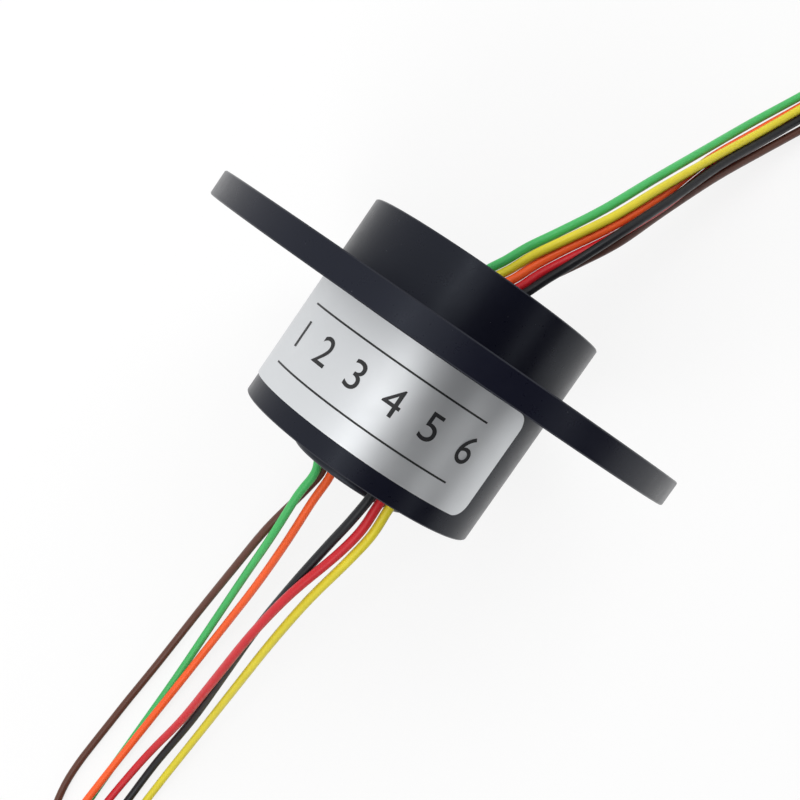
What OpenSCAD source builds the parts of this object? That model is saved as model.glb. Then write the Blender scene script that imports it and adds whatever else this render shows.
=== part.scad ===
// Flanged capsule slip ring with six circuits.
// Millimetres. X is the rotation axis, from the stator end to the rotor end.
// The origin is on the axis, in the face of the flange that seats on a panel. Z is up.

/* [Housing] */
// Outer diameter of the barrel and of the boss
barrel_d = 22; // [21:0.5:26]
// Length of the barrel, from the flange's seating face to the stator end
barrel_len = 11.6; // [10.5:0.1:16]
// Wall of the barrel
wall = 1.5; // [1:0.1:1.6]
// Diameter of the flange
flange_d = 44.4; // [42:0.2:52]
// Thickness of the flange
flange_t = 2.2; // [2:0.1:3]
// Length of the boss on the rotor side of the flange
boss_len = 5.1; // [4.8:0.1:7]
// Diameter of the mounting holes
hole_d = 5.4; // [3:0.1:6]
// Diameter of the circle that the mounting holes are on
hole_circle_d = 35; // [33:0.5:37]
// Number of mounting holes
hole_count = 3; // [3:1:6]
// Chamfer on the outer edges
edge = 0.1; // [0.05:0.05:0.3]

/* [End cap] */
// Thickness of the cap that closes the stator end
cap_t = 1.8; // [1.4:0.1:2.2]
// Width of the shoulder in the barrel that the cap seats on
cap_seat = 0.5; // [0.3:0.1:0.7]
// Diameter of the round hub on the cap
hub_d = 11.2; // [10.4:0.2:12.4]
// Height of the hub above the cap
hub_len = 1.3; // [1:0.1:1.6]
// Thickness of the hub's closed end
hub_floor = 0.8; // [0.5:0.1:0.9]

/* [Bearings] */
// Outer diameter of the bearing at the rotor end
big_od = 14; // [13.6:0.1:14.6]
// Width of the bearing at the rotor end
big_w = 3; // [2.6:0.1:3.2]
// Diameter of its balls
big_ball_d = 1.4; // [1.2:0.05:1.5]
// Outer diameter of the bearing at the stator end
small_od = 8; // [7.8:0.1:8.6]
// Bore of the bearing at the stator end
small_bore = 5; // [4.8:0.1:5.2]
// Width of the bearing at the stator end
small_w = 2.5; // [2.2:0.1:2.6]
// Diameter of its balls
small_ball_d = 0.8; // [0.7:0.05:0.85]
// Number of balls in each bearing
ball_count = 10; // [8:1:11]

/* [Rotor] */
// Outer diameter of the hollow shaft
shaft_d = 9; // [8.6:0.1:9.4]
// Bore of the shaft, which the leads come out of
bore_d = 7.2; // [6.8:0.1:7.6]
// Depth of the dust cover's recess in the boss
recess_depth = 1.1; // [0.9:0.1:1.3]
// Diameter of that recess
recess_d = 17; // [16.4:0.1:18]
// Thickness of the dust cover
cover_t = 0.5; // [0.3:0.05:0.6]
// Height of the potting's face below the end of the shaft
potting_drop = 1.6; // [1:0.1:2]

/* [Contacts] */
// Number of circuits, each with a contact ring
ring_count = 6; // [4:1:6]
// Outer diameter of the contact rings
ring_d = 11.8; // [11.4:0.1:12]
// Depth of the groove in a contact ring
groove_depth = 0.5; // [0.3:0.05:0.6]
// Outer diameter of the insulating barriers
barrier_d = 12.8; // [12.4:0.1:13.2]
// Thickness of an insulating barrier
barrier_t = 0.6; // [0.4:0.05:0.7]
// Length of the spacer between the last barrier and the bearing
spacer_len = 1.3; // [0.9:0.1:1.8]

/* [Brushes] */
// Angle of the two brush blocks about the axis
brush_angle = 26; // [10:1:35]
// Width of a brush block
block_w = 6.4; // [5.6:0.2:7]
// Distance from the axis to the face of a brush block
block_r = 7; // [6.9:0.1:7.2]
// Diameter of a brush wire
wire_d = 0.3; // [0.2:0.05:0.35]
// Distance from the axis to the row of leads in a brush block
outlet_r = 7.9; // [7.7:0.1:8.1]

/* [Label] */
// Thickness of the foil label
label_t = 0.1; // [0.05:0.05:0.2]
// Bare band between the label and the stator end
label_margin = 1.8; // [1:0.1:3]
// Bare band between the label and the flange
label_gap = 0.25; // [0.1:0.05:0.6]
// Angle of the label's end that faces up
label_end = 146; // [120:1:170]
// Angle that the label covers
label_span = 200; // [150:5:240]
// Radius of the label's corners
label_corner = 1.3; // [0.8:0.1:2]

/* [Leads] */
// Outer diameter of a lead
lead_d = 0.8; // [0.7:0.02:0.82]
// Distance between neighbouring leads in a brush block
outlet_pitch = 0.95; // [0.85:0.01:1.05]
// Radius of a coil at the middle of its outermost turn
coil_r = 15.2; // [14:0.1:17]
// Radial distance from one turn of a coil to the next
coil_step = 2.6; // [2.55:0.05:3]
// Number of turns in a coil
coil_turns = 2.5; // [2:0.25:3]
// Thickness of the ties' band
tie_t = 0.3; // [0.2:0.05:0.4]
// Width of the ties' band
tie_w = 2; // [1.5:0.1:3]

/* [Hidden] */

$fn = 96;
seat_gap = 0.03;            // clearance of pieces that are pressed or glued together
run_gap = 0.3;              // clearance round pieces that turn
race_gap = 0.03;            // clearance between a ball and its races
barrel_r = barrel_d / 2;
cavity_r = barrel_r - wall;
flange_r = flange_d / 2;
boss_x = flange_t + boss_len;             // rotor end of the boss
cap_x = cap_t - barrel_len;               // inner face of the end cap
big_x = boss_x - recess_depth - big_w;    // inner side of the bearing at the rotor end
big_lip = 0.6;                            // shoulder that this bearing seats on
small_x = hub_floor - hub_len - barrel_len;
bearing_wall = 1.3;                       // wall of the socket for the bearing at the rotor end
shoulder_len = 0.3;                       // step of the shaft against the small bearing
collar_t = 0.5;                           // collar of the shaft against the first barrier
solder_hole_d = 0.8;                      // hole in the shaft for a ring's wire
cage_t = 0.36;                            // thickness of a cage's wall, as a part of the ball's diameter
cage_len = 1.35;                          // length of a cage, in the same way
race_shoulder = 0.64;                     // height of a race's shoulder, as a part of the ball's radius
stack_x = small_x + small_w + shoulder_len + collar_t;
stack_len = big_x - spacer_len - stack_x;
ring_w = (stack_len - (ring_count + 1) * barrier_t) / ring_count;
ring_pitch = ring_w + barrier_t;
race_t = 0.22 * (big_od - shaft_d);       // combined thickness of both races
shaft_end = boss_x - run_gap;
potting_x = shaft_end - potting_drop;
floor_z = -flange_r;

block_gap = 0.4;            // clearance between a brush block and the socket of the bearing
outlet_inset = 0.2;         // depth of the outlets' face below the cap's face

// Slot in the end cap for the leads of one brush block
slot_w = 2 * outlet_pitch + lead_d + 0.7;
slot_h = lead_d + 0.5;

// Outer shape of a flat coil of the six leads, which lie three wide and two high
lead_pitch = 0.85;
pack_w = 2 * lead_pitch + lead_d;
pack_h = lead_pitch + lead_d;
coil_outer = coil_r + pack_w / 2;
coil_inner = coil_r - coil_step * coil_turns - pack_w / 2;
tie_head = 1.2;             // length of a tie's head

// Shape of a contact ring's groove, and where a brush wire lies in it
groove_half = 0.42 * ring_w;
groove_r = ring_d / 2 - groove_depth;
wire_r = groove_r + race_gap + wire_d / 2 / sin(atan(groove_half / groove_depth));

// Route of the bundle of rotor leads, up to the point where it meets its coil
rotor_route = [[5.4, -1.15, 0], [7, -1.15, 0], [8.6, -1.9, 0], [10.5, -2.9, -0.2],
    [13, -4.2, -0.9], [17, -6.3, -3], [22, -8.4, -7], [28, -10.9, -12.4], [34, -13.5, -17.4],
    [40, -16.2, -20.6], [47, -19.3, -21.7], [55, -22.8, -21.5], [63, -26.3, -21.5]];
// Place of each lead in the bundle at each of those points: to the left, and up
rotor_lays = [
    [[1.55, 0], [1.55, 0], [1.48, 0], [1.6, 0], [1.53, 0], [1.6, 0], [1.65, 0], [1.65, 0],
        [1.7, 0], [1.6, 0], [1.45, 0], [1.1, 0], [0.85, 0]],
    [[0.7, 0], [0.7, 0], [0.65, 0], [0.78, 0.3], [0.68, 0.58], [0.63, 0.62], [0.63, 0.82],
        [0.54, 0.83], [0.45, 0.83], [0.5, 0.83], [0.55, 0.83], [0.7, 0.83], [0.85, 0.83]],
    [[-0.13, 0], [-0.13, 0], [-0.18, 0], [0.02, -0.05], [0.03, 0], [0, 0], [0.05, 0], [0.7, 0],
        [0.75, 0], [0.7, 0], [0.62, 0], [0.25, 0], [0, 0]],
    [[-0.97, 0], [-0.97, 0], [-1.01, 0], [-0.8, 0], [-0.8, 0], [-0.82, 0], [-0.78, 0], [-0.13, 0],
        [-0.1, 0], [-0.13, 0], [-0.2, 0], [-0.6, 0], [-0.85, 0]],
    [[-1.68, 0.45], [-1.68, 0.45], [-1.7, 0.5], [-1.48, 0.45], [-1.28, 0.7], [-0.83, 0.83],
        [-0.67, 0.83], [-0.32, 0.83], [-0.38, 0.83], [-0.35, 0.83], [-0.32, 0.83], [-0.13, 0.83],
        [0, 0.83]],
    [[-1.6, -0.58], [-1.6, -0.58], [-1.6, -0.6], [-1.35, -0.62], [-1.45, -0.58], [-1.42, -0.6],
        [-1.15, -0.75], [-1, -0.3], [-1.16, 0], [-1.3, 0], [-1.35, 0.3], [-1.22, 0.72],
        [-0.85, 0.83]]];

// The same for the three leads of each brush block: near is the upper one, far the lower one
near_route = [[-11.4, -3.46, 7.1], [-12.6, -3.46, 7], [-15, -3.4, 6.2], [-18, -3, 4.8],
    [-23, -2.35, 2.1], [-29, -1.9, -2.2], [-36, -1.35, -8.2], [-44, -0.9, -15.2],
    [-52, -0.2, -19.8], [-60, 0.8, -21.6], [-68, 2.3, -21.6], [-75, 3, -21.5]];
far_route = [[-11.4, 3.46, -7.1], [-12.6, 3.4, -7.1], [-15, 2.45, -7.2], [-18, 2.35, -8.2],
    [-23, 2.6, -10.6], [-29, 2.9, -14.6], [-36, 3.3, -18.8], [-44, 3.7, -21.2],
    [-52, 4.2, -21.65], [-60, 4, -21.7], [-68, 3.4, -21.6], [-75, 3, -21.5]];
near_lays = [
    [[0.85, -0.42], [0.85, -0.42], [0.99, -0.3], [1, 0], [0.86, 0], [0.77, 0], [0.95, 0], [1, 0],
        [1.25, 0], [1.7, 0], [1.4, 0.75], [0.85, 0.83]],
    [[0, 0], [0, 0], [0.1, 0.1], [0, 0.3], [-0.6, 0.83], [-1, 0.83], [-1, 0.83], [-1.17, 0.7],
        [-1.56, 0.3], [-1.3, 0.4], [0, 0.83], [0, 0.83]],
    [[-0.85, 0.42], [-0.85, 0.42], [-1.01, 0.3], [-1, 0], [-0.93, 0], [-0.95, 0], [-0.57, 0],
        [-0.37, 0], [-0.33, 0], [0.3, 0], [0.9, 0], [0.85, 0]]];
far_lays = [
    [[-0.85, 0.42], [-0.8, 0.42], [-0.46, 0.5], [-0.66, 0.6], [-0.38, 0.55], [-0.33, 0],
        [-0.11, 0], [0.22, 0], [0.6, 0], [0.3, 0], [0, 0], [0, 0]],
    [[0.85, -0.42], [0.85, -0.42], [0.85, -0.3], [0.72, 0], [1.02, 0], [1.11, 0], [1, 0],
        [0.85, 0.7], [0.8, 0.83], [0.1, 0.83], [-0.8, 0.83], [-0.85, 0.83]],
    [[0, 0], [0, 0], [0, -0.4], [-0.45, -0.4], [-1.2, 0], [-1.62, 0], [-1.96, 0], [-2.2, 0],
        [-2.32, 0], [-2.9, 0], [-1.5, 0], [-0.85, 0]]];

// Vector helpers
function unit(v) = v / norm(v);
function heading(path, i) =
    unit(path[min(i + 1, len(path) - 1)] - path[max(i - 1, 0)]);
function left_of(t) = unit(cross([0, 0, 1], t));
function up_of(t) = cross(t, left_of(t));

// Points of one lead: its places beside the route of its bundle
function beside(route, lays) = [for (i = [0:len(route) - 1])
    let (t = heading(route, i)) route[i] + lays[i][0] * left_of(t) + lays[i][1] * up_of(t)];

// A smooth curve through the points, with a number of steps between each pair
function between(a, b, c, d, s) = b + s * (c - a) / 2
    + s * s * (a - 2.5 * b + 2 * c - d / 2) + s * s * s * (1.5 * (b - c) + (d - a) / 2);
function smooth(p, steps) = let (n = len(p) - 1) concat(
    [for (i = [0:n - 1]) for (k = [0:steps - 1])
        between(i == 0 ? 2 * p[0] - p[1] : p[i - 1], p[i], p[i + 1],
            i == n - 1 ? 2 * p[n] - p[n - 1] : p[i + 2], k / steps)],
    [p[n]]);

function coil_centre(route) = let (n = len(route) - 1)
    route[n] + coil_r * left_of(heading(route, n));

// Turns a model that is built along Z to lie along X, with its X on Y and its Y on Z
module along_x() {
    rotate([90, 0, 90]) children();
}

module ring(outer_r, inner_r, from, to) {
    along_x() translate([0, 0, from]) difference() {
        cylinder(r = outer_r, h = to - from);
        translate([0, 0, -1]) cylinder(r = inner_r, h = to - from + 2);
    }
}

module tube(path, d, sides = 8) {
    n = len(path);
    points = [for (i = [0:n - 1]) let (t = heading(path, i), a = left_of(t), b = up_of(t))
        for (k = [0:sides - 1]) let (q = 360 * k / sides)
            path[i] + d / 2 * (cos(q) * a + sin(q) * b)];
    faces = concat(
        [[for (k = [0:sides - 1]) k]],
        [for (i = [0:n - 2]) for (k = [0:sides - 1])
            let (j = (k + 1) % sides, p = i * sides, q = p + sides) each
            [[p + k, q + k, q + j], [p + k, q + j, p + j]]],
        [[for (k = [sides - 1:-1:0]) (n - 1) * sides + k]]);
    polyhedron(points, faces);
}

module housing() {
    hub_r = big_od / 2 + bearing_wall;
    color("#1d1f26") along_x() difference() {
        rotate_extrude() polygon([
            [cavity_r + cap_seat, -barrel_len], [barrel_r - edge, -barrel_len],
            [barrel_r, edge - barrel_len], [barrel_r, 0], [flange_r - edge, 0], [flange_r, edge],
            [flange_r, flange_t - edge], [flange_r - edge, flange_t], [barrel_r, flange_t],
            [barrel_r, boss_x - edge], [barrel_r - edge, boss_x], [recess_d / 2, boss_x],
            [recess_d / 2, boss_x - recess_depth], [big_od / 2, boss_x - recess_depth],
            [big_od / 2, big_x], [big_od / 2 - race_t / 2 - edge, big_x],
            [big_od / 2 - race_t / 2 - edge, big_x - big_lip], [hub_r, big_x - big_lip],
            [hub_r, big_x + big_w / 2], [cavity_r, big_x + big_w / 2], [cavity_r, cap_x],
            [cavity_r + cap_seat, cap_x]]);
        for (i = [0:hole_count - 1]) rotate([0, 0, 90 + 360 * i / hole_count])
            translate([hole_circle_d / 2, 0, -1]) cylinder(d = hole_d, h = flange_t + 2);
    }
}

module outlet(grow, from, to) {
    translate([-slot_w / 2 - grow, outlet_r - slot_h / 2 - grow, from])
        cube([slot_w + 2 * grow, slot_h + 2 * grow, to - from]);
}

module end_cap() {
    rim_r = cavity_r + cap_seat - seat_gap;
    round_r = 0.4;
    top = -barrel_len - hub_len;
    color("#22242b") along_x() difference() {
        rotate_extrude() polygon(concat(
            [[0, top]],
            [for (q = [-90:15:0]) [hub_d / 2 - round_r + round_r * cos(q),
                top + round_r + round_r * sin(q)]],
            [[hub_d / 2, -barrel_len], [rim_r, -barrel_len], [rim_r, cap_x],
            [small_od / 2, cap_x], [small_od / 2, small_x], [0, small_x]]));
        for (side = [0, 180]) rotate([0, 0, brush_angle + side])
            outlet(seat_gap, -barrel_len - 1, cap_x + 1);
    }
}

// The foil is wrapped round the barrel. Its four corners are rounded.
module label() {
    from = label_margin - barrel_len;
    to = -label_gap;
    color("#c9ccce") along_x() difference() {
        rotate([0, 0, label_end - label_span]) rotate_extrude(angle = label_span)
            translate([barrel_r, from]) square([label_t, to - from]);
        for (q = [label_end - label_span, label_end]) for (x = [from, to])
            rotate([0, 0, q]) label_corner_cut(q == label_end ? -1 : 1, x, x == from ? 1 : -1);
    }
}

module label_corner_cut(turn, x, way) {
    c = label_corner;
    difference() {
        translate([barrel_r / 2, -c, x - c]) cube([barrel_r, 2 * c, 2 * c]);
        translate([0, turn * c, x + way * c]) rotate([0, 90, 0])
            cylinder(r = c, h = 2 * barrel_r);
    }
}

module rotor_shaft() {
    shaft_r = shaft_d / 2;
    bore_r = bore_d / 2;
    journal_r = small_bore / 2;
    collar_r = ring_d / 2 - groove_depth;
    bore_x = stack_x + collar_t;
    color("#3a3f49") along_x() difference() {
        rotate_extrude() polygon([
            [0, small_x + 0.2], [journal_r - 0.2, small_x + 0.2], [journal_r, small_x + 0.4],
            [journal_r, small_x + small_w], [journal_r + 0.5, small_x + small_w],
            [journal_r + 0.5, stack_x - collar_t], [collar_r, stack_x - collar_t],
            [collar_r, stack_x], [shaft_r, stack_x], [shaft_r, shaft_end],
            [bore_r + 0.2, shaft_end], [bore_r, shaft_end - 0.2], [bore_r, bore_x],
            [0, bore_x]]);
        for (i = [0:ring_count - 1]) rotate([0, 0, 360 * i / ring_count])
            translate([0, 0, ring_at(i) + ring_w / 2]) rotate([0, 90, 0])
                cylinder(d = solder_hole_d, h = shaft_d);
    }
}

module rotor_potting() {
    color("#17191d") along_x() translate([0, 0, stack_x + collar_t])
        cylinder(r = bore_d / 2 - seat_gap, h = potting_x - stack_x - collar_t);
}

// Disc on the end of the shaft, in the boss's recess. Its hub holds the inner race.
module dust_cover() {
    r = recess_d / 2 - run_gap;
    inner = shaft_d / 2 + seat_gap;
    foot = big_x + big_w;
    color("#2b2e36") along_x() rotate_extrude() polygon([
        [inner, foot], [inner + 0.6, foot], [inner + 0.6, shaft_end - cover_t],
        [r, shaft_end - cover_t], [r, shaft_end - 0.15], [r - 0.15, shaft_end],
        [inner, shaft_end]]);
}

module spacer() {
    color("#b8bcc2")
        ring(shaft_d / 2 + race_t / 2, shaft_d / 2 + seat_gap, big_x - spacer_len, big_x);
}

function ring_at(i) = stack_x + barrier_t + i * ring_pitch;

module contact_ring(i) {
    inner = shaft_d / 2 + seat_gap;
    outer = ring_d / 2;
    if (i < ring_count)
        color("#d8a93f") along_x() translate([0, 0, ring_at(i)]) rotate_extrude() polygon([
            [inner, 0], [outer, 0], [outer, ring_w / 2 - groove_half], [groove_r, ring_w / 2],
            [outer, ring_w / 2 + groove_half], [outer, ring_w], [inner, ring_w]]);
}

module barrier(i) {
    inner = shaft_d / 2 + seat_gap;
    outer = barrier_d / 2;
    c = barrier_t / 4;
    if (i <= ring_count)
        color("#2e6f8f") along_x() translate([0, 0, ring_at(i) - barrier_t])
            rotate_extrude() polygon([
                [inner, 0], [outer - c, 0], [outer, c], [outer, barrier_t - c],
                [outer - c, barrier_t], [inner, barrier_t]]);
}

// A block seats on the barrel's wall and on the cap. Its tongue fills the cap's slot.
module brush_block(side) {
    back_r = cavity_r - seat_gap;
    end = big_x - big_lip - block_gap;
    color("#3d4a3c") along_x() rotate([0, 0, brush_angle + side]) {
        intersection() {
            translate([-block_w / 2, block_r, cap_x])
                cube([block_w, cavity_r - block_r, end - cap_x]);
            translate([0, 0, cap_x]) cylinder(r = back_r, h = end - cap_x);
        }
        outlet(0, outlet_inset - barrel_len, cap_x + outlet_inset);
    }
}

// Two springy wires from the block touch every second ring, one on each side of it
module brush_wires(side, first) {
    foot = [0.375 * block_w, block_r + 0.6];
    reach = sqrt(pow(norm(foot), 2) - pow(wire_r, 2));
    q = atan2(foot[1], foot[0]) - acos(wire_r / norm(foot));
    tangent = wire_r * [cos(q), sin(q)];
    lean = atan2(tangent[0] - foot[0], foot[1] - tangent[1]);
    color("#e3b64b") along_x() rotate([0, 0, brush_angle + side])
        for (i = [first:2:ring_count - 1]) for (m = [0, 1]) mirror([m, 0, 0])
            translate([foot[0], foot[1], ring_at(i) + ring_w / 2]) rotate([0, 0, lean])
                rotate([90, 0, 0]) cylinder(d = wire_d, h = reach + 1.2, $fn = 24);
}

// Parts of a ball bearing of any size. All have the balls' pitch circle in common.
function pitch_r(bore, od) = (bore + od) / 4;

module inner_race(bore, od, w, ball, x) {
    p = pitch_r(bore, od);
    shoulder = p - race_shoulder * ball / 2;
    color("#cdd1d6") along_x() translate([0, 0, x]) rotate_extrude() difference() {
        translate([bore / 2 + seat_gap, 0]) square([shoulder - bore / 2 - seat_gap, w]);
        translate([p, w / 2]) circle(r = ball / 2 + race_gap);
    }
}

module outer_race(bore, od, w, ball, x) {
    p = pitch_r(bore, od);
    shoulder = p + race_shoulder * ball / 2;
    color("#cdd1d6") along_x() translate([0, 0, x]) rotate_extrude() difference() {
        translate([shoulder, 0]) square([od / 2 - seat_gap - shoulder, w]);
        translate([p, w / 2]) circle(r = ball / 2 + race_gap);
    }
}

module balls(bore, od, w, ball, x) {
    color("#e6e8ea") along_x() for (i = [0:ball_count - 1]) rotate([0, 0, 360 * i / ball_count])
        translate([pitch_r(bore, od), 0, x + w / 2]) sphere(d = ball, $fn = 32);
}

module cage(bore, od, w, ball, x) {
    p = pitch_r(bore, od);
    t = cage_t * ball;
    long = cage_len * ball;
    color("#b08d57") along_x() difference() {
        translate([0, 0, x + w / 2 - long / 2]) difference() {
            cylinder(r = p + t / 2, h = long);
            translate([0, 0, -1]) cylinder(r = p - t / 2, h = long + 2);
        }
        for (i = [0:ball_count - 1]) rotate([0, 0, 360 * i / ball_count])
            translate([0, 0, x + w / 2]) rotate([0, 90, 0])
                cylinder(r = ball / 2 + race_gap, h = od / 2);
    }
}

module coil(route) {
    centre = coil_centre(route);
    color("#7a6a55") translate([centre[0], centre[1], floor_z + tie_t]) difference() {
        cylinder(r = coil_outer, h = pack_h);
        translate([0, 0, -1]) cylinder(r = coil_inner, h = pack_h + 2);
    }
}

// Two flat bands round the coil's turns, at angles counted from where the leads join it
module ties(route) {
    centre = coil_centre(route);
    start = atan2(route[len(route) - 1][1] - centre[1], route[len(route) - 1][0] - centre[0]);
    long = coil_outer - coil_inner + 0.2;
    color("#e9e7df") for (q = [100, 220]) translate([centre[0], centre[1], floor_z])
        rotate([0, 0, start + q]) translate([coil_inner - 0.1, 0, 0]) difference() {
            translate([-tie_t, -tie_w / 2, 0]) cube([long + 2 * tie_t, tie_w, pack_h + 2 * tie_t]);
            translate([0, -tie_w, tie_t]) cube([long, 2 * tie_w, pack_h]);
        }
    color("#e9e7df") for (q = [100, 220]) translate([centre[0], centre[1], floor_z])
        rotate([0, 0, start + q]) translate([coil_outer + 0.1 + tie_t, -0.65 * tie_w, 0])
            cube([tie_head, 1.3 * tie_w, pack_h]);
}

module lead(route, lays, paint) {
    color(paint) tube(smooth(beside(route, lays), 3), lead_d);
}

housing();
end_cap();
label();
rotor_shaft();
rotor_potting();
dust_cover();
spacer();
contact_ring(0);  // contact_ring_1
contact_ring(1);  // contact_ring_2
contact_ring(2);  // contact_ring_3
contact_ring(3);  // contact_ring_4
contact_ring(4);  // contact_ring_5
contact_ring(5);  // contact_ring_6
barrier(0);  // barrier_1
barrier(1);  // barrier_2
barrier(2);  // barrier_3
barrier(3);  // barrier_4
barrier(4);  // barrier_5
barrier(5);  // barrier_6
barrier(6);  // barrier_7
brush_block(0);  // brush_block_near
brush_block(180);  // brush_block_far
brush_wires(0, 0);  // brush_wires_near
brush_wires(180, 1);  // brush_wires_far
outer_race(shaft_d, big_od, big_w, big_ball_d, big_x);  // big_outer_race
inner_race(shaft_d, big_od, big_w, big_ball_d, big_x);  // big_inner_race
cage(shaft_d, big_od, big_w, big_ball_d, big_x);  // big_cage
balls(shaft_d, big_od, big_w, big_ball_d, big_x);  // big_balls
outer_race(small_bore, small_od, small_w, small_ball_d, small_x);  // small_outer_race
inner_race(small_bore, small_od, small_w, small_ball_d, small_x);  // small_inner_race
cage(small_bore, small_od, small_w, small_ball_d, small_x);  // small_cage
balls(small_bore, small_od, small_w, small_ball_d, small_x);  // small_balls
lead(rotor_route, rotor_lays[0], "#3f9e5a");  // rotor_lead_green
lead(rotor_route, rotor_lays[1], "#c8bc30");  // rotor_lead_yellow
lead(rotor_route, rotor_lays[2], "#d9552b");  // rotor_lead_orange
lead(rotor_route, rotor_lays[3], "#b62c33");  // rotor_lead_red
lead(rotor_route, rotor_lays[4], "#20252a");  // rotor_lead_black
lead(rotor_route, rotor_lays[5], "#56392f");  // rotor_lead_brown
coil(rotor_route);  // rotor_coil
ties(rotor_route);  // rotor_ties
lead(far_route, far_lays[0], "#3f9e5a");  // stator_lead_green
lead(near_route, near_lays[0], "#c8bc30");  // stator_lead_yellow
lead(far_route, far_lays[1], "#d9552b");  // stator_lead_orange
lead(near_route, near_lays[1], "#b62c33");  // stator_lead_red
lead(near_route, near_lays[2], "#20252a");  // stator_lead_black
lead(far_route, far_lays[2], "#56392f");  // stator_lead_brown
coil(near_route);  // stator_coil
ties(near_route);  // stator_ties
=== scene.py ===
"""Capsule slip ring with a flanged barrel and six leads at each end, dressed on its CAD parts."""
import bmesh
import bpy
import math
from mathutils import Matrix, Vector


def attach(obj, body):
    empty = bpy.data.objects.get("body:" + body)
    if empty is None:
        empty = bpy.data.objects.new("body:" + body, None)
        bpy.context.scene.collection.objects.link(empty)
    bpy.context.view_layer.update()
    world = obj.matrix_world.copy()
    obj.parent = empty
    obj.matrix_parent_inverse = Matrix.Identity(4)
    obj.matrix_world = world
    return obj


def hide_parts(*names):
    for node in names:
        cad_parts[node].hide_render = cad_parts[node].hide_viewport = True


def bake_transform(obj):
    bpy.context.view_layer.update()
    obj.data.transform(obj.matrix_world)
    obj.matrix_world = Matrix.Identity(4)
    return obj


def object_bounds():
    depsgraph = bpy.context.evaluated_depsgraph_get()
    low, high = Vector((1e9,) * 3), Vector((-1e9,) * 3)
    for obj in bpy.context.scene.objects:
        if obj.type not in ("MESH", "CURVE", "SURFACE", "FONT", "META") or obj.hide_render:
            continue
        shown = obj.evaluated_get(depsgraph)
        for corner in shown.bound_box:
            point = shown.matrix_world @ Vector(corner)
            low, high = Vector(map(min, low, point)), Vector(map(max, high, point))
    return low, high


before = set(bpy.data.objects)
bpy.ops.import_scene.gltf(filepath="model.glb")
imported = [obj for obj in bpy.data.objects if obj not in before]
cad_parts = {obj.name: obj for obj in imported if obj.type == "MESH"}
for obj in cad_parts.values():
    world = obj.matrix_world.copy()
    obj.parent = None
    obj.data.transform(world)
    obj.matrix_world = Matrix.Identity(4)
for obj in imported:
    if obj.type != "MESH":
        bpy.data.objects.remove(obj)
cad_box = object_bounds()
scene = bpy.context.scene

# ---------------------------------------------------------------- camera
# It hangs 12 cm above the bench and looks almost straight down on the slip ring, which lies
# on the rim of its flange and on its leads, with its axis along X.

lens = bpy.data.cameras.new("camera")
lens.sensor_width = 36
lens.lens = 52.641
lens.clip_start = 0.005
lens.clip_end = 10
camera = bpy.data.objects.new("camera", lens)
to_right = (0.56802, -0.82024, -0.06748)
to_top = (0.82017, 0.57096, -0.03635)
to_back = (0.06835, -0.03470, 0.99706)
camera.matrix_world = (Matrix.Translation((0.001434, -0.003341, 0.097228))
                       @ Matrix((to_right, to_top, to_back)).transposed().to_4x4())
scene.collection.objects.link(camera)
scene.camera = camera
scene.view_settings.view_transform = "Standard"

# ---------------------------------------------------------------- rotor shaft
# The tube that turns inside the barrel: moulded in glass-filled nylon, with its journals
# turned to size. It carries the contact rings, and its bore takes the leads to them.


class Value:
    """What a node of a surface gives. Arithmetic on it adds Math nodes."""

    def __init__(self, finish, socket):
        self.finish, self.socket = finish, socket

    def math(self, operation, *terms):
        return self.finish.add("ShaderNodeMath", {"operation": operation}, dict(enumerate(terms)))

    def __add__(self, other):
        return self.math("ADD", self, other)

    def __sub__(self, other):
        return self.math("SUBTRACT", self, other)

    def __rsub__(self, other):
        return self.math("SUBTRACT", other, self)

    def __mul__(self, other):
        return self.math("MULTIPLY", self, other)

    def __gt__(self, other):
        return self.math("GREATER_THAN", self, other)

    def __lt__(self, other):
        return self.math("LESS_THAN", self, other)

    __radd__, __rmul__ = __add__, __mul__


class Finish:
    """A surface. Numbers that are the same all over it are set on its shader."""

    def __init__(self, name, **constants):
        self.material = bpy.data.materials.new(name)
        self.material.use_nodes = True
        self.tree = self.material.node_tree
        self.shader = self.tree.nodes["Principled BSDF"]
        for key, value in constants.items():
            self.shader.inputs[key.replace("_", " ")].default_value = value
        self.place = self.add("ShaderNodeTexCoord", out="Object")

    def add(self, kind, settings=None, sockets=None, out=0):
        """A node of that type, with its settings, and then its sockets' values or links."""
        node = self.tree.nodes.new(kind)
        for name, value in (settings or {}).items():
            setattr(node, name, value)
        for name, value in (sockets or {}).items():
            self.join(value, node.inputs[name])
        return Value(self, node.outputs[out])

    def join(self, value, socket):
        """Links a value to the socket, or sets the socket to a number or a colour."""
        if isinstance(value, Value):
            self.tree.links.new(value.socket, socket)
        else:
            socket.default_value = value

    def feed(self, name, value):
        """Joins a value to a socket of the shader."""
        self.join(value, self.shader.inputs[name])

    def noise(self, scale, detail=3, stretch=None):
        """Cloudy texture round 0.5, which may be stretched along the axes."""
        place = self.place
        if stretch:
            place = self.add("ShaderNodeMapping", None, {"Vector": place, "Scale": stretch})
        return self.add("ShaderNodeTexNoise", None,
                        {"Vector": place, "Scale": scale, "Detail": detail})

    def between(self, factor, first, second):
        """A colour between two, at a factor from 0 to 1."""
        return self.add("ShaderNodeMix", {"data_type": "RGBA"}, {
            0: factor, 6: (*first, 1) if isinstance(first, tuple) else first, 7: (*second, 1)},
            out=2)

    def relief(self, *heights):
        """Each height is a texture, its strength and its depth in metres."""
        normal = None
        for texture, strength, depth in heights:
            sockets = {"Height": texture, "Strength": strength, "Distance": depth}
            if normal:
                sockets["Normal"] = normal
            normal = self.add("ShaderNodeBump", None, sockets, "Normal")
        self.feed("Normal", normal)


def shade(colour, share):
    """The colour made darker or lighter."""
    return tuple(min(1, c * share) for c in colour)


PALE_DUST = (0.30, 0.31, 0.33)


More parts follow.
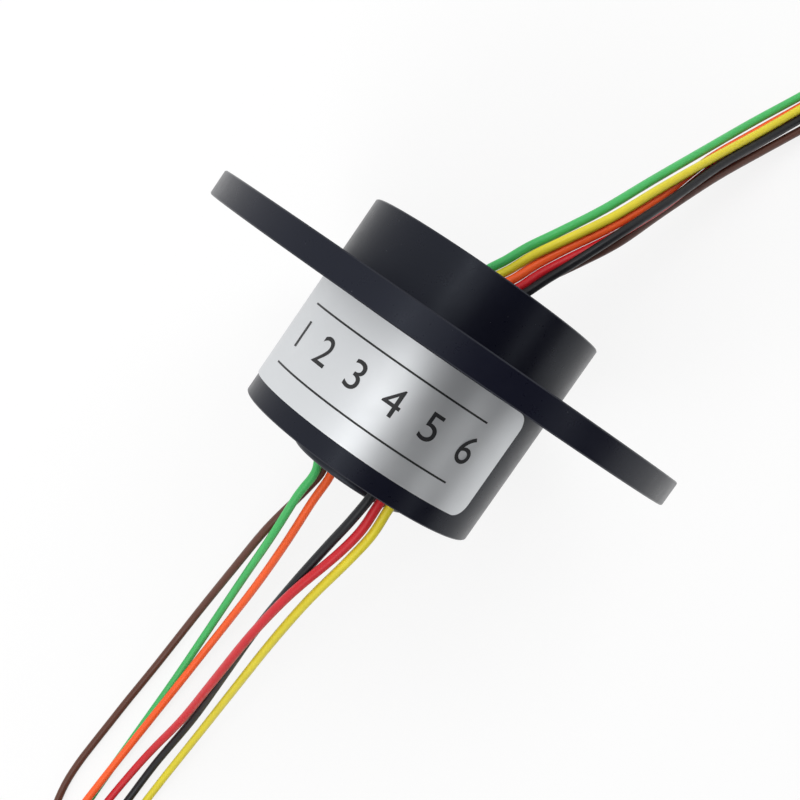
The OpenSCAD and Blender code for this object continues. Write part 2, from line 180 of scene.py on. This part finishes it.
def moulded(name, colour, rough, grain=5200, depth=0.000004, vary=0.1, gleam=0.5,
            tint=(1, 1, 1, 1), dust=0):
    """Plastic from a mould: fine grain, uneven gloss and tone, and a few pale specks of dust."""
    plastic = Finish(name, Specular_IOR_Level=gleam, Specular_Tint=tint)
    fine = plastic.noise(grain, 4)
    skin = plastic.between(
        plastic.noise(300, 4), shade(colour, 1 - vary), shade(colour, 1 + vary))
    if dust:
        # One small speck in the middle of each cell, kept only in patches
        cells = plastic.add("ShaderNodeTexVoronoi", None, {
            "Vector": plastic.place, "Scale": 2400}, "Distance")
        specks = (cells < 0.055) * (plastic.noise(1300, 1) > 0.62)
        skin = plastic.between(specks * dust, skin, PALE_DUST)
    plastic.feed("Base Color", skin)
    plastic.feed("Roughness", (plastic.noise(800, 4) - 0.5) * 0.12 + (fine - 0.5) * 0.1 + rough)
    plastic.relief((fine, 0.5, depth), (plastic.noise(700, 2), 0.15, depth * 2))
    return plastic


def dress(finish, *names):
    """Gives CAD nodes their finish."""
    for name in names:
        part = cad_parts[name]
        for place in part.material_slots:
            place.material = finish.material


dress(moulded("nylon", (0.030, 0.034, 0.042), 0.45, grain=3600), "rotor_shaft")

# ---------------------------------------------------------------- contact rings and barriers
# Six brass rings with a V groove, turned on a lathe and plated with hard gold. They are
# slid on the shaft with blue acetal barriers between them, and bonded.

RING_COUNT = 6
NO_LINES = (1, 1, 1)


def turned(name, colour, rough, lines=(1, 0.04, 0.04), depth=0.000002):
    """Metal from a lathe: fine lines round the axis, with uneven gloss and tone."""
    metal = Finish(name, Metallic=1.0)
    cuts = metal.noise(16000, 3, lines)
    metal.feed("Base Color", metal.between(metal.noise(500), shade(colour, 0.86), colour))
    metal.feed("Roughness", (cuts - 0.5) * 0.2 + (metal.noise(300) - 0.5) * 0.12 + rough)
    metal.relief((cuts, 0.4, depth))
    return metal


dress(turned("gold", (0.86, 0.60, 0.22), 0.20),
      *(f"contact_ring_{i}" for i in range(1, RING_COUNT + 1)))
dress(moulded("blue_acetal", (0.020, 0.125, 0.235), 0.36),
      *(f"barrier_{i}" for i in range(1, RING_COUNT + 2)))

# ---------------------------------------------------------------- bearings
# Two open ball bearings: ground races and balls of chrome steel, in a drawn brass cage.
# A turned steel spacer holds the larger one off the last barrier.

steel = turned("ground_steel", (0.72, 0.73, 0.75), 0.17)
dress(steel, "spacer", "big_outer_race", "big_inner_race", "small_outer_race",
      "small_inner_race")
dress(turned("ball_steel", (0.78, 0.79, 0.80), 0.07, NO_LINES, 0.0000003),
      "big_balls", "small_balls")
dress(turned("drawn_brass", (0.62, 0.45, 0.19), 0.32, NO_LINES), "big_cage", "small_cage")

# ---------------------------------------------------------------- brush blocks and wires
# Springy wires of a gold alloy, soldered into blocks of glass-epoxy laminate, which is
# sawn and drilled. The weave of the glass shows through the resin.

laminate = Finish("glass_epoxy", Roughness=0.42, Specular_IOR_Level=0.45)
weave = laminate.noise(2600, 2, (1, 0.12, 0.12)) + laminate.noise(2600, 2, (0.12, 1, 1))
laminate.feed("Base Color", laminate.between(
    weave * 0.5, (0.020, 0.060, 0.026), (0.050, 0.105, 0.050)))
laminate.relief((weave, 0.4, 0.000006))
dress(laminate, "brush_block_near", "brush_block_far")
dress(turned("gold_alloy", (0.88, 0.66, 0.30), 0.22, NO_LINES),
      "brush_wires_near", "brush_wires_far")

# ---------------------------------------------------------------- barrel with its flange
# The stator's body, moulded in black glass-filled polyester with a satin skin. Its flange is
# screwed to the frame of the machine, and it holds the bearings, the blocks and the cap.

COLD = (0.82, 0.90, 1.0, 1)
dress(moulded("black_polyester", (0.0058, 0.0062, 0.0130), 0.30, depth=0.000003, gleam=0.26,
              tint=COLD, dust=0.5), "housing")

# ---------------------------------------------------------------- end cap and dust cover
# Two more mouldings in black polyester. The cap is glued into the barrel and holds the small
# bearing in its hub. The cover is pressed on the shaft and turns in the boss's recess.

dress(moulded("black_cap", (0.0066, 0.0072, 0.0135), 0.40, depth=0.000003, gleam=0.3,
              tint=COLD, dust=0.3), "end_cap", "dust_cover")

# ---------------------------------------------------------------- potting
# Black epoxy that fills the bore of the shaft round its leads and sets with a glossy face.
# It creeps up each lead a little. At the cap it only seals the leads where they come out.

# Outline of the ring that creeps up a lead, in mm: along the lead, and out from its middle
EPOXY_CREEP = ((-0.06, 0.36), (0.32, 0.36), (0.30, 0.42), (0.14, 0.46), (0.05, 0.53),
               (0.01, 0.64), (-0.06, 0.64))
epoxy = moulded("black_epoxy", (0.006, 0.006, 0.0075), 0.12, grain=1500, vary=0.3)
dress(epoxy, "rotor_potting")


def finished(name, bm, finish, body=None):
    """Makes a piece of a mesh in millimetres and closes the mesh."""
    bmesh.ops.scale(bm, vec=(0.001, 0.001, 0.001), verts=bm.verts)
    mesh = bpy.data.meshes.new(name)
    bm.to_mesh(mesh)
    bm.free()
    mesh.materials.append(finish.material)
    part = bpy.data.objects.new(name, mesh)
    scene.collection.objects.link(part)
    if body:
        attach(part, body)
    return part


def seals(name, exits, way, body):
    """A ring of epoxy round each lead, on the face that it comes out of towards way."""
    bm = bmesh.new()
    for spot in exits:
        ring = [bm.verts.new(spot + Vector((way * along, out, 0))) for along, out in EPOXY_CREEP]
        sides = [bm.edges.new(pair) for pair in zip(ring, ring[1:] + ring[:1])]
        bmesh.ops.spin(bm, geom=ring + sides, cent=spot, axis=(1, 0, 0), dvec=(0, 0, 0),
                       angle=math.tau, steps=20, use_merge=True)
    bmesh.ops.recalc_face_normals(bm, faces=bm.faces)
    for face in bm.faces:
        face.smooth = True
    return finished(name, bm, epoxy, body)


# ---------------------------------------------------------------- label
# A strip of satin silver film, glued most of the way round the barrel. It is printed in
# black with two rules, and with the number of each circuit between them.

# Radius of the film, height of the ink on it, and the widest strip of a print that stays flat
LABEL_R, PRINT_H, PRINT_STEP = 11.1, 0.012, 0.35
# Sizes and places of the numbers and rules, and the degrees at which they stand round it
NUMBER_SIZE, NUMBER_X, NUMBER_TURN = 3.4, -5.0, 18
RULE_LEN, RULE_W, RULE_TURN = 18.6, 0.16, 79
RULE_X = {"rule_top": -2.3, "rule_bottom": -7.8}

film = Finish("silver_film", Metallic=0.84)
satin = film.noise(9000)
film.feed("Base Color", film.between(
    film.noise(160, 4), (0.67, 0.69, 0.71), (0.72, 0.735, 0.750)))
film.feed("Roughness", (film.noise(600, 4) - 0.5) * 0.1 + (satin - 0.5) * 0.08 + 0.42)
film.relief((satin, 0.25, 0.000002), (film.noise(240, 2), 0.15, 0.00003))
dress(film, "label")
ink = moulded("black_ink", (0.010, 0.010, 0.012), 0.45, grain=8000)


def printed(name, bm, at, x):
    """Wraps a flat print round the label: its width from an angle on, its height towards +X."""
    width = [vert.co.x for vert in bm.verts]
    cuts = int((max(width) - min(width)) / PRINT_STEP)
    for k in range(1, cuts + 1):
        bmesh.ops.bisect_plane(bm, geom=bm.verts[:] + bm.edges[:] + bm.faces[:],
                               plane_co=(min(width) + PRINT_STEP * k, 0, 0), plane_no=(1, 0, 0))
    for vert in bm.verts:
        q = math.radians(at) + vert.co.x / LABEL_R
        r = LABEL_R + PRINT_H
        vert.co = (x + vert.co.y, r * math.cos(q), r * math.sin(q))
    finished(name, bm, ink, "stator")


for i in range(1, RING_COUNT + 1):
    text = bpy.data.curves.new("number", "FONT")
    text.body = str(i)
    text.size = NUMBER_SIZE
    text.align_x = text.align_y = "CENTER"
    text.resolution_u = 6
    flat = bpy.data.objects.new("number", text)
    scene.collection.objects.link(flat)
    bpy.context.view_layer.update()
    bm = bmesh.new()
    bm.from_mesh(bpy.data.meshes.new_from_object(flat))
    bpy.data.objects.remove(flat)
    printed(f"number_{i}", bm, NUMBER_TURN * (i + 1), NUMBER_X)

for name, x in RULE_X.items():
    bm = bmesh.new()
    bmesh.ops.create_grid(bm, x_segments=1, y_segments=1, size=0.5)
    bmesh.ops.scale(bm, vec=(RULE_LEN, RULE_W, 1), verts=bm.verts)
    printed(name, bm, RULE_TURN, x)

# ---------------------------------------------------------------- bundles of leads
# Six leads come out of the shaft as one bundle, and three out of each of the cap's slots. The
# bundles run down to the bench, and each end's six leads are wound into one flat coil there.

LEAD_D = 0.8
# Radius at which a bundle joins its coil, and how much smaller each turn is
COIL_R, COIL_STEP = 15.2, 2.6
ROTOR_ROUTE = [
    (5.4, -1.15, 0), (7, -1.15, 0), (8.6, -1.9, 0), (10.5, -2.9, -0.2), (13, -4.2, -0.9),
    (17, -6.3, -3), (22, -8.4, -7), (28, -10.9, -12.4), (34, -13.5, -17.4), (40, -16.2, -20.6),
    (47, -19.3, -21.7), (55, -22.8, -21.5), (63, -26.3, -21.5)]
NEAR_ROUTE = [
    (-11.4, -3.46, 7.1), (-12.6, -3.46, 7), (-15, -3.4, 6.2), (-18, -3, 4.8), (-23, -2.35, 2.1),
    (-29, -1.9, -2.2), (-36, -1.35, -8.2), (-44, -0.9, -15.2), (-52, -0.2, -19.8),
    (-60, 0.8, -21.6), (-68, 2.3, -21.6), (-75, 3, -21.5)]
FAR_ROUTE = [
    (-11.4, 3.46, -7.1), (-12.6, 3.4, -7.1), (-15, 2.45, -7.2), (-18, 2.35, -8.2),
    (-23, 2.6, -10.6), (-29, 2.9, -14.6), (-36, 3.3, -18.8), (-44, 3.7, -21.2),
    (-52, 4.2, -21.65), (-60, 4, -21.7), (-68, 3.4, -21.6), (-75, 3, -21.5)]
# Place of each lead in its bundle at each point of the route: to the left, and up
ROTOR_LAYS = {
    "green": [(1.55, 0), (1.55, 0), (1.48, 0), (1.6, 0), (1.53, 0), (1.6, 0), (1.65, 0),
        (1.65, 0), (1.7, 0), (1.6, 0), (1.45, 0), (1.1, 0), (0.85, 0)],
    "yellow": [(0.7, 0), (0.7, 0), (0.65, 0), (0.78, 0.3), (0.68, 0.58), (0.63, 0.62),
        (0.63, 0.82), (0.54, 0.83), (0.45, 0.83), (0.5, 0.83), (0.55, 0.83), (0.7, 0.83),
        (0.85, 0.83)],
    "orange": [(-0.13, 0), (-0.13, 0), (-0.18, 0), (0.02, -0.05), (0.03, 0), (0, 0), (0.05, 0),
        (0.7, 0), (0.75, 0), (0.7, 0), (0.62, 0), (0.25, 0), (0, 0)],
    "red": [(-0.97, 0), (-0.97, 0), (-1.01, 0), (-0.8, 0), (-0.8, 0), (-0.82, 0), (-0.78, 0),
        (-0.13, 0), (-0.1, 0), (-0.13, 0), (-0.2, 0), (-0.6, 0), (-0.85, 0)],
    "black": [(-1.68, 0.45), (-1.68, 0.45), (-1.7, 0.5), (-1.48, 0.45), (-1.28, 0.7),
        (-0.83, 0.83), (-0.67, 0.83), (-0.32, 0.83), (-0.38, 0.83), (-0.35, 0.83), (-0.32, 0.83),
        (-0.13, 0.83), (0, 0.83)],
    "brown": [(-1.6, -0.58), (-1.6, -0.58), (-1.6, -0.6), (-1.35, -0.62), (-1.45, -0.58),
        (-1.42, -0.6), (-1.15, -0.75), (-1, -0.3), (-1.16, 0), (-1.3, 0), (-1.35, 0.3),
        (-1.22, 0.72), (-0.85, 0.83)]}
NEAR_LAYS = {
    "yellow": [(0.85, -0.42), (0.85, -0.42), (0.99, -0.3), (1, 0), (0.86, 0), (0.77, 0),
        (0.95, 0), (1, 0), (1.25, 0), (1.7, 0), (1.4, 0.75), (0.85, 0.83)],
    "red": [(0, 0), (0, 0), (0.1, 0.1), (0, 0.3), (-0.6, 0.83), (-1, 0.83), (-1, 0.83),
        (-1.17, 0.7), (-1.56, 0.3), (-1.3, 0.4), (0, 0.83), (0, 0.83)],
    "black": [(-0.85, 0.42), (-0.85, 0.42), (-1.01, 0.3), (-1, 0), (-0.93, 0), (-0.95, 0),
        (-0.57, 0), (-0.37, 0), (-0.33, 0), (0.3, 0), (0.9, 0), (0.85, 0)]}
FAR_LAYS = {
    "green": [(-0.85, 0.42), (-0.8, 0.42), (-0.46, 0.5), (-0.66, 0.6), (-0.38, 0.55), (-0.33, 0),
        (-0.11, 0), (0.22, 0), (0.6, 0), (0.3, 0), (0, 0), (0, 0)],
    "orange": [(0.85, -0.42), (0.85, -0.42), (0.85, -0.3), (0.72, 0), (1.02, 0), (1.11, 0),
        (1, 0), (0.85, 0.7), (0.8, 0.83), (0.1, 0.83), (-0.8, 0.83), (-0.85, 0.83)],
    "brown": [(0, 0), (0, 0), (0, -0.4), (-0.45, -0.4), (-1.2, 0), (-1.62, 0), (-1.96, 0),
        (-2.2, 0), (-2.32, 0), (-2.75, 0), (-1.5, 0), (-0.85, 0)]}


def heading(line, i):
    """The way that the line runs at one of its points."""
    return (line[min(i + 1, len(line) - 1)] - line[max(i - 1, 0)]).normalized()


def left_of(way):
    """The way to the left, level with the bench."""
    return Vector((0, 0, 1)).cross(way).normalized()


def coil_place(route):
    """The middle of the coil that a bundle comes to, and the angle at which it joins it."""
    centre = route[-1] + COIL_R * left_of(heading(route, len(route) - 1))
    return centre, math.atan2(route[-1].y - centre.y, route[-1].x - centre.x)


coils = {end: coil_place([Vector(point) for point in points])
         for end, points in (("rotor", ROTOR_ROUTE), ("stator", NEAR_ROUTE))}

# ---------------------------------------------------------------- cable ties
# Two small nylon ties hold each coil. The band goes round the leads and up through the slot
# in its head, past a catch, and its end is cut off. Its edges stand a little proud.

BAND_T, BAND_W, BAND_BEND = 0.3, 2.0, 0.45
BAND_EDGE, BAND_DISH = 0.28, 0.04
HEAD_LEN, HEAD_W, HEAD_ROUND = 1.2, 2.6, 0.14
SLOT_EDGE, SLOT_DEPTH, SLOT_TAPER = 0.18, 1.2, 0.02
# The band's cut end in the slot: its two faces, from the heel of the head, and its width
TAIL_IN, TAIL_OUT, TAIL_W = 0.42, 0.7, 1.84
# A turn of the coil is three leads wide and two high, and the band leaves it a little room
PITCH = 0.85
PACK_W, PACK_H = 2 * PITCH + LEAD_D, PITCH + LEAD_D
SLACK = 0.1
# Angle of each tie round its coil, and how many turns further in it reaches
TIES = ((100, 2), (220, 1))
nylon = moulded("natural_nylon", (0.74, 0.73, 0.67), 0.38, grain=2500, vary=0.04)


def block(bm, low, high, rounding):
    """A box between two corners, with its edges rounded. Gives its faces."""
    size = [b - a for a, b in zip(low, high)]
    centre = [(a + b) / 2 for a, b in zip(low, high)]
    verts = bmesh.ops.create_cube(bm, size=1)["verts"]
    bmesh.ops.scale(bm, vec=size, verts=verts)
    bmesh.ops.translate(bm, vec=centre, verts=verts)
    edges = [edge for edge in bm.edges if edge.verts[0] in verts]
    made = bmesh.ops.bevel(bm, geom=edges, offset=rounding, offset_type="OFFSET", segments=2,
                           profile=0.5, affect="EDGES", material=-1)
    return [face for face in bm.faces if face.verts[0] in made["verts"]]


def cable_tie(bm, inner, outer):
    """A tie along X from the coil's inner side to its outer side, standing on the floor."""
    top = PACK_H + 2 * BAND_T
    verts = bmesh.ops.create_cube(bm, size=1)["verts"]
    bmesh.ops.scale(bm, vec=(outer - inner + 2 * BAND_T, BAND_W, top), verts=verts)
    bmesh.ops.translate(bm, vec=((inner + outer) / 2, 0, top / 2), verts=verts)
    open_ends = [face for face in bm.faces if abs(face.calc_center_median().y) > 0.1]
    bmesh.ops.delete(bm, geom=open_ends, context="FACES_ONLY")
    corners = [edge for edge in bm.edges if not edge.is_boundary]
    bmesh.ops.bevel(bm, geom=corners, offset=BAND_BEND, offset_type="OFFSET", segments=4,
                    profile=0.5, affect="EDGES", material=-1)
    bmesh.ops.inset_region(bm, faces=bm.faces, thickness=BAND_EDGE, depth=-BAND_DISH,
                           use_boundary=True)
    bmesh.ops.solidify(bm, geom=bm.faces, thickness=BAND_T)
    heel = outer + BAND_T
    faces = block(bm, (heel, -HEAD_W / 2, BAND_T),
                  (heel + HEAD_LEN, HEAD_W / 2, BAND_T + PACK_H), HEAD_ROUND)
    mouth = max(faces, key=lambda face: face.calc_area() * (face.normal.z > 0.9))
    bmesh.ops.inset_region(bm, faces=[mouth], thickness=SLOT_EDGE)
    bmesh.ops.inset_region(bm, faces=[mouth], thickness=SLOT_TAPER, depth=-SLOT_DEPTH)
    # The band runs on under the head, and its end stands up in the slot
    block(bm, (outer, -BAND_W / 2, 0), (heel + TAIL_OUT, BAND_W / 2, BAND_T), 0.08)
    block(bm, (heel + TAIL_IN, -TAIL_W / 2, 0.1),
          (heel + TAIL_OUT, TAIL_W / 2, top + 0.15), 0.05)


for end, (centre, start) in coils.items():
    both = bmesh.new()
    for along, turns_in in TIES:
        outermost = COIL_R - COIL_STEP * along / 360
        bm = bmesh.new()
        cable_tie(bm, outermost - COIL_STEP * turns_in - PACK_W / 2 - SLACK,
                  outermost + PACK_W / 2 + SLACK)
        bmesh.ops.recalc_face_normals(bm, faces=bm.faces)
        bmesh.ops.rotate(bm, cent=(0, 0, 0), verts=bm.verts,
                         matrix=Matrix.Rotation(start + math.radians(along), 3, "Z"))
        bmesh.ops.translate(bm, vec=(centre.x, centre.y, cad_box[0][2] * 1000), verts=bm.verts)
        one = bpy.data.meshes.new("tie")
        bm.to_mesh(one)
        bm.free()
        both.from_mesh(one)
    finished(end + "_cable_ties", both, nylon, "stator")
    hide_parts(end + "_ties")

# ---------------------------------------------------------------- leads
# Twelve leads of seven tinned copper strands in a coloured jacket, extruded in soft plastic.
# Six are soldered to the rings and come out of the shaft, and three go to each brush block.
# Each end's six are wound into a flat coil, and their ends are stripped and tinned.

LEAD_LEN, STRIPPED = 250, 4
STRAND_D, STRAND_LAY = 0.15, 5.5
# Degrees of the coil between two points of a lead, and steps of the curve between them
COIL_TURN = 15
LEAD_STEPS, STRAND_STEPS = 3, 8
JACKETS = {"green": (0.060, 0.450, 0.120), "yellow": (0.700, 0.600, 0.030),
           "orange": (0.900, 0.115, 0.022), "red": (0.540, 0.014, 0.022),
           "black": (0.0060, 0.0065, 0.0090), "brown": (0.105, 0.038, 0.024)}


def beside(route, lays):
    """The points of one lead, at its places beside the route of its bundle."""
    line = []
    for i, (left, above) in enumerate(lays):
        way = heading(route, i)
        line.append(route[i] + left * left_of(way) + above * way.cross(left_of(way)))
    return line


def smooth(p, steps):
    """A smooth curve through the points, with a number of steps between each pair."""
    last = len(p) - 1
    line = []
    for i in range(last):
        a = 2 * p[0] - p[1] if i == 0 else p[i - 1]
        b, c = p[i], p[i + 1]
        d = 2 * p[last] - p[last - 1] if i == last - 1 else p[i + 2]
        for k in range(steps):
            s = k / steps
            line.append(b + s * (c - a) / 2 + s * s * (a - 2.5 * b + 2 * c - d / 2)
                        + s ** 3 * (1.5 * (b - c) + (d - a) / 2))
    return line + [p[last]]


def wound(line, centre, start, inward, above):
    """The lead's line, led on round the flat coil until it is as long as a lead."""
    left = LEAD_LEN - sum((b - a).length for a, b in zip(line, line[1:]))
    turn = 0
    while left > 0:
        turn += math.radians(COIL_TURN)
        r = COIL_R - inward - COIL_STEP * turn / math.tau
        spot = centre + Vector((r * math.cos(start + turn), r * math.sin(start + turn), above))
        stride = (spot - line[-1]).length
        line = line + [line[-1].lerp(spot, min(1, left / stride))]
        left -= stride
    return line


def split(line, at):
    """The line in two parts, cut at a distance along it."""
    for i, (a, b) in enumerate(zip(line, line[1:])):
        stride = (b - a).length
        if at <= stride:
            cut = a.lerp(b, at / stride)
            return line[:i + 1] + [cut], [cut] + line[i + 1:]
        at -= stride


def drawn(name, lines, diameter, rounds, finish):
    """Wires of one diameter along lines in millimetres."""
    curve = bpy.data.curves.new(name, "CURVE")
    curve.dimensions = "3D"
    curve.bevel_depth = diameter / 2
    curve.bevel_resolution = rounds
    curve.use_fill_caps = True
    for line in lines:
        spline = curve.splines.new("POLY")
        spline.points.add(len(line) - 1)
        for point, place in zip(spline.points, line):
            point.co = (*place, 1)
    shape = bpy.data.objects.new(name, curve)
    scene.collection.objects.link(shape)
    bpy.context.view_layer.update()
    bm = bmesh.new()
    bm.from_mesh(bpy.data.meshes.new_from_object(shape))
    bpy.data.objects.remove(shape)
    bmesh.ops.recalc_face_normals(bm, faces=bm.faces)
    return finished(name, bm, finish)


def jacket(colour):
    """Extruded insulation: soft gloss, and a skin that is a little uneven."""
    skin = Finish("jacket_" + colour, Specular_IOR_Level=0.25)
    base = JACKETS[colour]
    skin.feed("Base Color", skin.between(skin.noise(420, 3), shade(base, 0.9), shade(base, 1.1)))
    skin.feed("Roughness", (skin.noise(1500, 3) - 0.5) * 0.3 + 0.38)
    skin.relief((skin.noise(3000, 2), 0.25, 0.000005), (skin.noise(600, 2), 0.2, 0.00002))
    return skin


def strands(line):
    """The line of the middle strand and of the six that are laid round it."""
    fine = smooth(line, STRAND_STEPS)
    lines = [fine]
    for k in range(6):
        gone, laid = 0, []
        for i, spot in enumerate(fine):
            gone += (spot - fine[i - 1]).length if i else 0
            q = math.tau * (k / 6 + gone / STRAND_LAY)
            way = heading(fine, i)
            side = left_of(way)
            laid.append(spot + STRAND_D * (math.cos(q) * side + math.sin(q) * way.cross(side)))
        lines.append(laid)
    return lines


jackets = {colour: jacket(colour) for colour in JACKETS}
tinned = turned("tinned_copper", (0.80, 0.80, 0.79), 0.24, NO_LINES)
exits = {"rotor": [], "stator": []}
for end, points, bundle in (("rotor", ROTOR_ROUTE, ROTOR_LAYS), ("stator", NEAR_ROUTE, NEAR_LAYS),
                            ("stator", FAR_ROUTE, FAR_LAYS)):
    route = [Vector(point) for point in points]
    for colour, lays in bundle.items():
        line = wound(smooth(beside(route, lays), LEAD_STEPS), *coils[end], *lays[-1])
        covered, bare = split(line, LEAD_LEN - STRIPPED)
        exits[end].append(covered[0])
        lead = drawn(f"{end}_wire_{colour}", [smooth(covered, LEAD_STEPS)], LEAD_D, 5,
                     jackets[colour])
        tip = drawn(f"{end}_tip_{colour}", strands(bare), STRAND_D, 2, tinned)
        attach(tip, "stator")
        if end == "rotor":
            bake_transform(lead)
        else:
            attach(lead, "stator")
        first = colour == ("green" if end == "rotor" else "yellow")
        covered[0] * 0.001
        [spot * 0.001 for spot in covered]
        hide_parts(f"{end}_lead_{colour}", *([end + "_coil"] if first else []))

seals("rotor_seals", exits["rotor"], 1, "rotor")
seals("stator_seals", exits["stator"], -1, "stator")

# ---------------------------------------------------------------- floor and light
# The slip ring lies on a sheet of white card in a white room. A strip lamp hangs overhead,
# with a lamp at each end, and two black cards along one side give the barrel its dark band.

# Side of the card in metres, and how much of its own white it shows
FLOOR_SIZE, FLOOR_GLOW = 6, 0.82
FLAG_LEN, FLAG_AWAY = 0.9, 0.35


def sheet(name, width, depth, finish):
    """A flat rectangle round the origin, which isn't part of the slip ring."""
    bm = bmesh.new()
    bmesh.ops.create_grid(bm, x_segments=1, y_segments=1, size=0.5)
    bmesh.ops.scale(bm, vec=(width, depth, 1), verts=bm.verts)
    mesh = bpy.data.meshes.new(name)
    bm.to_mesh(mesh)
    bm.free()
    mesh.materials.append(finish.material)
    flat = bpy.data.objects.new(name, mesh)
    scene.collection.objects.link(flat)
    return flat


def ray(finish, kind):
    """Gives 1 for rays of that kind, and 0 for others."""
    return finish.add("ShaderNodeLightPath", out=f"Is {kind} Ray")


white = Finish("white_card", Roughness=0.9, Specular_IOR_Level=0.2)
white.feed("Base Color", white.between(
    white.noise(30, 4), (0.90, 0.90, 0.90), (0.93, 0.93, 0.93)))
glow = white.add("ShaderNodeEmission", None, {"Color": (1, 1, 1, 1), "Strength": 1.0})
seen = ray(white, "Camera") + ray(white, "Glossy") + ray(white, "Transmission")
paper = white.add("ShaderNodeMixShader", None, {
    0: seen * FLOOR_GLOW, 1: Value(white, white.shader.outputs[0]), 2: glow})
white.join(paper, white.tree.nodes["Material Output"].inputs["Surface"])
floor = sheet("floor", FLOOR_SIZE, FLOOR_SIZE, white)
floor.location = (0, 0, cad_box[0][2])

black = Finish("black_card", Roughness=0.9, Specular_IOR_Level=0.2)
black.feed("Base Color", black.between(
    black.noise(30, 4), (0.010, 0.010, 0.012), (0.014, 0.014, 0.016)))
for name, depth, rise in (("upper_flag", 0.30, 120), ("lower_flag", 0.14, 166)):
    flag = sheet(name, FLAG_LEN, depth, black)
    q = math.radians(rise)
    flag.location = (0, FLAG_AWAY * math.cos(q), FLAG_AWAY * math.sin(q))
    flag.rotation_euler = (q - math.pi / 2, 0, 0)
    flag.visible_camera = False

room = bpy.data.worlds.new("white_room")
room.use_nodes = True
scene.world = room
walls = room.node_tree.nodes["Background"]
walls.inputs["Color"].default_value = (1, 1, 1, 1)
walls.inputs["Strength"].default_value = 1.0


def lamp(name, place, width, depth, watts):
    """A rectangular lamp that faces the slip ring."""
    light = bpy.data.lights.new(name, "AREA")
    light.shape = "RECTANGLE"
    light.size, light.size_y = width, depth
    light.energy = watts
    box = bpy.data.objects.new(name, light)
    box.location = place
    box.rotation_euler = (-Vector(place)).to_track_quat("-Z", "Y").to_euler()
    scene.collection.objects.link(box)


lamp("strip_lamp", (0, 0.09, 0.39), 0.6, 0.03, 0.18)
for x in (-0.33, 0.33):
    lamp("end_lamp", (x, 0.03, 0.30), 0.25, 0.25, 0.6)
